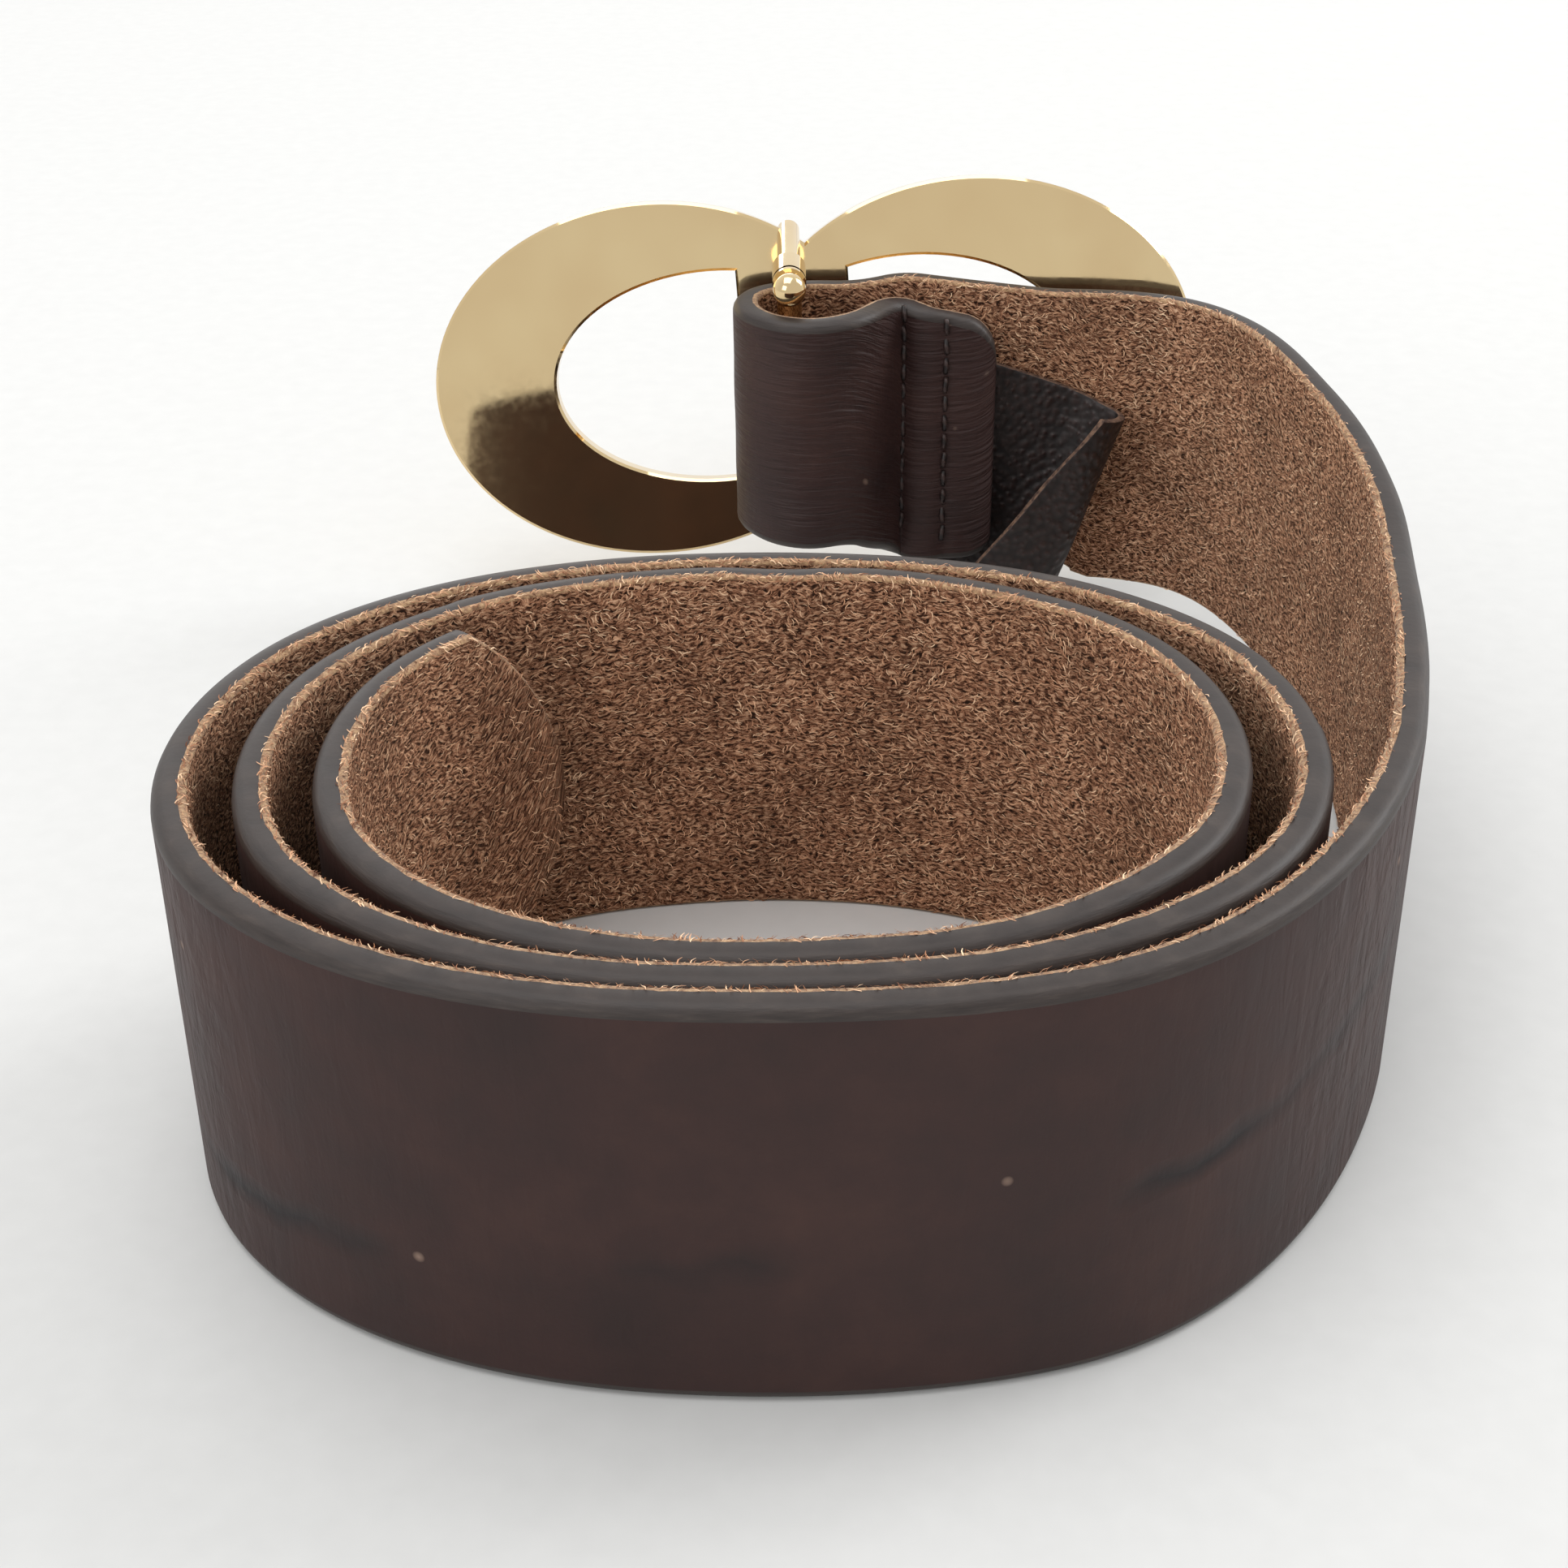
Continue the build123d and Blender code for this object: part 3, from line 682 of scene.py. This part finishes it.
def punchHoles(thing):
    cutter = bmesh.new()
    for number in range(punch["count"]):
        s = punch["first"] + number * punch["pitch"]
        x, y = (np.interp(s, lineLengths, linePlaces[:, k]) for k in (0, 1))
        dx, dy = (np.interp(s, lineLengths, lineDirections[:, k]) for k in (0, 1))
        along, out = Vector((dx, dy, 0)).normalized(), Vector((dy, -dx, 0)).normalized()
        turnTo = Matrix((along, Vector((0, 0, 1)), out)).transposed().to_4x4()
        place = Matrix.Translation(Vector((x, y, strapCut["width"] / 2)) * mm) @ turnTo
        bmesh.ops.create_cone(cutter, cap_ends=True, segments=28, radius1=punch["radius"] * mm,
                              radius2=punch["radius"] * mm, depth=punch["depth"] * mm, matrix=place)
    bmesh.ops.recalc_face_normals(cutter, faces=cutter.faces)
    mesh = bpy.data.meshes.new("punch")
    cutter.to_mesh(mesh)
    cutter.free()
    mesh.materials.append(finishes["raw"])
    tool = bpy.data.objects.new("punch", mesh)
    scene.collection.objects.link(tool)
    cut = thing.modifiers.new("holes", "BOOLEAN")
    cut.operation, cut.object, cut.solver, cut.material_mode = "DIFFERENCE", tool, "EXACT", "TRANSFER"
    bpy.context.view_layer.update()
    graph = bpy.context.evaluated_depsgraph_get()
    holed = bpy.data.meshes.new_from_object(thing.evaluated_get(graph), preserve_all_data_layers=True,
                                            depsgraph=graph)
    thing.modifiers.remove(cut)
    bpy.data.objects.remove(tool)
    thing.data = holed


punchHoles(strapWork)
strapWork.name = strapWork.data.name = "strapLeather"
print("holes punched,", len(strapWork.data.polygons), "faces")

# tab under the flap
tab = {
    "corner": (29.2, 66.25, 1.6), "lean": radians(19), "height": 30.0, "thickness": 1.0,
    "line": [(-26, 0), (-20, 0), (-14, 0), (-8.6, -0.2), (-2.8, -2.1), (-0.3, -5.6), (-2.8, -8.7), (-8, -9.6),
             (-15, -10.2)],
    "startX": 15.5, "topReach": 33.0, "bottomReach": 43.6, "rows": 40, "columns": 90,
}


def makeTab():
    places, directions, lengths = smoothLine(tab["line"], 1500)
    corner = Vector(tab["corner"])
    out = Vector((cos(tab["lean"]), 0, -sin(tab["lean"])))
    rise = Vector((sin(tab["lean"]), 0, cos(tab["lean"])))
    points, faces = [], []
    for row in range(tab["rows"] + 1):
        h = row / tab["rows"]
        height = tab["height"] * h
        reach = min(tab["bottomReach"] + (tab["topReach"] - tab["bottomReach"]) * h, lengths[-1])
        # the sewn end is cut upright under the flap, while the tab itself leans
        start = (tab["startX"] - corner.x - rise.x * height) / out.x - tab["line"][0][0]
        for column in range(tab["columns"] + 1):
            s = start + (reach - start) * column / tab["columns"]
            a, b = (np.interp(s, lengths, places[:, k]) for k in (0, 1))
            # thin leather never hangs quite straight
            sway = noise.noise(Vector((s * 0.16, h * 2.2, 5))) * smoothStep(s, 20, 26)
            points.append((corner + out * a + Vector((0, b + sway * 0.9, 0)) + rise * height) * mm)
    wide = tab["columns"] + 1
    for row in range(tab["rows"]):
        for column in range(tab["columns"]):
            k = row * wide + column
            faces.append((k, k + 1, k + wide + 1, k + wide))
    thing = meshObject("pebbledTab", points, faces, [finishes["tab"], finishes["tabCut"]])
    thing.data.polygons.foreach_set("use_smooth", [True] * len(faces))
    wall = thing.modifiers.new("thickness", "SOLIDIFY")
    wall.thickness, wall.offset, wall.material_offset_rim = tab["thickness"] * mm, 0, 1
    wall.use_even_offset = True
    bevel = thing.modifiers.new("edges", "BEVEL")
    bevel.width, bevel.segments, bevel.limit_method = 0.18 * mm, 2, "ANGLE"
    bevel.angle_limit = radians(50)
    bpy.context.view_layer.update()
    graph = bpy.context.evaluated_depsgraph_get()
    solid = bpy.data.meshes.new_from_object(thing.evaluated_get(graph), depsgraph=graph)
    thing.modifiers.clear()
    thing.data = solid
    return thing


def tabCut():
    # cut edge of the thin calf, dyed but rubbed pale
    material, tree = newMaterial("calfCutEdge")
    place = addNode(tree, "ShaderNodeTexCoord").outputs["Object"]
    rag = addNode(tree, "ShaderNodeTexNoise", Vector=place, Scale=1400, Detail=4)
    colour = ramp(tree, rag.outputs[0], [(0.35, "#3E2C26"), (0.65, "#7A5E4C")])
    bump = addNode(tree, "ShaderNodeBump", Strength=0.6, Distance=0.0002, Height=rag.outputs[0])
    finishMaterial(tree, Base_Color=colour, Roughness=0.8, IOR=1.45, Normal=bump.outputs[0])
    return material


finishes["tabCut"] = tabCut()
tabPiece = makeTab()
print("tab made")


# stitches
def threadLoop(name, length, thick, dip):
    # one stitch: round thread that comes out of one hole and goes down the next
    rings, sides = 6, 6
    points, faces = [], []
    for i in range(rings):
        t = i / (rings - 1)
        z = (t - 0.5) * length
        out = dip * (1 - (2 * t - 1) ** 2) - dip * 0.5
        fat = thick / 2 * (0.75 + 0.25 * sin(pi * t))
        for k in range(sides):
            angle = 2 * pi * k / sides
            points.append((fat * cos(angle) * mm, (-out - fat * sin(angle)) * mm, z * mm))
    for i in range(rings - 1):
        for k in range(sides):
            j = (k + 1) % sides
            faces.append((i * sides + k, i * sides + j, (i + 1) * sides + j, (i + 1) * sides + k))
    faces.append(tuple(reversed(range(sides))))
    faces.append(tuple((rings - 1) * sides + k for k in range(sides)))
    thing = meshObject(name, points, faces)
    thing.data.polygons.foreach_set("use_smooth", [True] * len(faces))
    work = bmesh.new()
    work.from_mesh(thing.data)
    bmesh.ops.recalc_face_normals(work, faces=work.faces)
    work.to_mesh(thing.data)
    work.free()
    return thing


def stitchTree():
    tree = bpy.data.node_groups.new("stitchRow", "GeometryNodeTree")
    addInput(tree, "Geometry", "NodeSocketGeometry")
    addInput(tree, "Stitch", "NodeSocketObject")
    addInput(tree, "Count", "NodeSocketInt", 12)
    addInput(tree, "Pitch", "NodeSocketFloat", 0.0026)
    addInput(tree, "Front", "NodeSocketVector")
    addInput(tree, "Back", "NodeSocketVector")
    addInput(tree, "Finish", "NodeSocketMaterial")
    tree.interface.new_socket("Geometry", in_out="OUTPUT", socket_type="NodeSocketGeometry")
    given = tree.nodes.new("NodeGroupInput").outputs
    loop = addNode(tree, "GeometryNodeObjectInfo", Object=given["Stitch"])
    step = addNode(tree, "ShaderNodeCombineXYZ", Z=given["Pitch"])
    crooked = addNode(tree, "FunctionNodeRandomValue", {"data_type": "FLOAT_VECTOR"}, in0=(-0.05, -0.12, -0.1),
                      in1=(0.05, 0.12, 0.1), Seed=4)
    rows = []
    for side, turned in (("Front", 0.0), ("Back", pi)):
        line = addNode(tree, "GeometryNodeMeshLine", {"mode": "OFFSET"}, Count=given["Count"],
                       Start_Location=given[side], Offset=step.outputs[0])
        facing = addNode(tree, "ShaderNodeVectorMath", {"operation": "ADD"}, in0=crooked.outputs[0],
                         in1=(0, 0, turned))
        row = addNode(tree, "GeometryNodeInstanceOnPoints", Points=line.outputs[0], Instance=loop.outputs["Geometry"],
                      Rotation=facing.outputs[0])
        rows.append(row.outputs[0])
    both = addNode(tree, "GeometryNodeJoinGeometry")
    for row in rows:
        tree.links.new(row, both.inputs[0])
    real = addNode(tree, "GeometryNodeRealizeInstances", Geometry=both.outputs[0])
    dressed = addNode(tree, "GeometryNodeSetMaterial", Geometry=real.outputs[0], Material=given["Finish"])
    addNode(tree, "NodeGroupOutput", Geometry=dressed.outputs[0])
    return tree


stitch = {"length": 2.2, "thread": 0.72, "dip": 0.34, "pitch": 2.6, "count": 12}
rowPlaces = {
    "foldStitches": ("fold_stitches", rowOne, nearY - strapCut["thickness"] / 2, 14.6),
    "flapStitches": ("flap_stitches", rowTwo, flapY - strapCut["thickness"] / 2, 13.2),
}
loopShape = threadLoop("loop", stitch["length"], stitch["thread"], stitch["dip"])
rowTree = stitchTree()
for name, (node, x, y, z) in rowPlaces.items():
    start = meshObject("start", [(0, 0, 0)], [])
    row = runTree(start, rowTree, name, {
        "Stitch": loopShape, "Count": stitch["count"], "Pitch": stitch["pitch"] * mm,
        "Front": [v * mm for v in (x, y + 0.12, z)], "Back": [v * mm for v in (x, farY + 1.55, z)],
        "Finish": finishes["thread"]})
    bpy.data.objects.remove(start)
    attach(row, "strap_body")
    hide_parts(node)
bpy.data.objects.remove(loopShape)
print("stitches sewn")

# metal
for node in ("buckle_frame", "upper_post", "lower_post", "hinge_bar"):
    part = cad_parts[node]
    if not part.material_slots:
        part.data.materials.append(None)
    for slot in part.material_slots:
        slot.material = finishes["gold"]
print("metal plated")

# what rides on what
for piece in [strapWork, *fibrePieces, tabPiece]:
    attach(piece, "strap_body")
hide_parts("strap")
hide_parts("inner_tab")

# floor and light
studio = {"floor": "#EDEDEC", "world": "#F4F4F3", "worldStrength": 0.86, "farStrength": 1.12}


def paleFloor():
    # seamless paper: plain, matt, the least grain
    material, tree = newMaterial("palePaper")
    place = addNode(tree, "ShaderNodeTexCoord").outputs["Object"]
    grain = addNode(tree, "ShaderNodeTexNoise", Vector=place, Scale=300, Detail=2)
    colour = ramp(tree, grain.outputs[0], [(0.2, "#D3D3D2"), (0.8, "#D7D7D6")])
    finishMaterial(tree, Base_Color=colour, Roughness=0.95)
    return material


floor = meshObject("floor", [(-4, -4, 0), (4, -4, 0), (4, 4, 0), (-4, 4, 0)], [(0, 1, 2, 3)], [paleFloor()])
world = bpy.data.worlds.new("studio")
scene.world = world
world.use_nodes = True
backdrop = world.node_tree.nodes["Background"]
backdrop.inputs["Color"].default_value = linearColour(studio["world"])
# the far wall is the bright one: it is what the upper rims of the buckle mirror
way = addNode(world.node_tree, "ShaderNodeTexCoord").outputs["Generated"]
axes = addNode(world.node_tree, "ShaderNodeSeparateXYZ", Vector=way)
glow = addNode(world.node_tree, "ShaderNodeMapRange", Value=axes.outputs[1], in1=-0.1, in2=0.9,
               in3=studio["worldStrength"], in4=studio["farStrength"])
world.node_tree.links.new(glow.outputs[0], backdrop.inputs["Strength"])
lamps = {
    "overhead": ((-0.35, 0.1, 2.2), 1.9, 1.7, 21.0),
    "farStrip": ((-0.5, 2.6, 0.5), 1.6, 0.3, 5.0),
    "frontLeft": ((-1.75, -2.0, 1.5), 1.5, 1.5, 15.0),
    "backRight": ((1.75, 0.9, 1.3), 0.9, 1.3, 20.0),
}
for name, (place, wide, tall, watts) in lamps.items():
    data = bpy.data.lights.new(name, "AREA")
    data.shape, data.size, data.size_y, data.energy = "RECTANGLE", wide, tall, watts
    lamp = bpy.data.objects.new(name, data)
    scene.collection.objects.link(lamp)
    lamp.location = place
    lamp.rotation_euler = (Vector((0, 0, 0.02)) - Vector(place)).to_track_quat("-Z", "Y").to_euler()
print("studio lit")
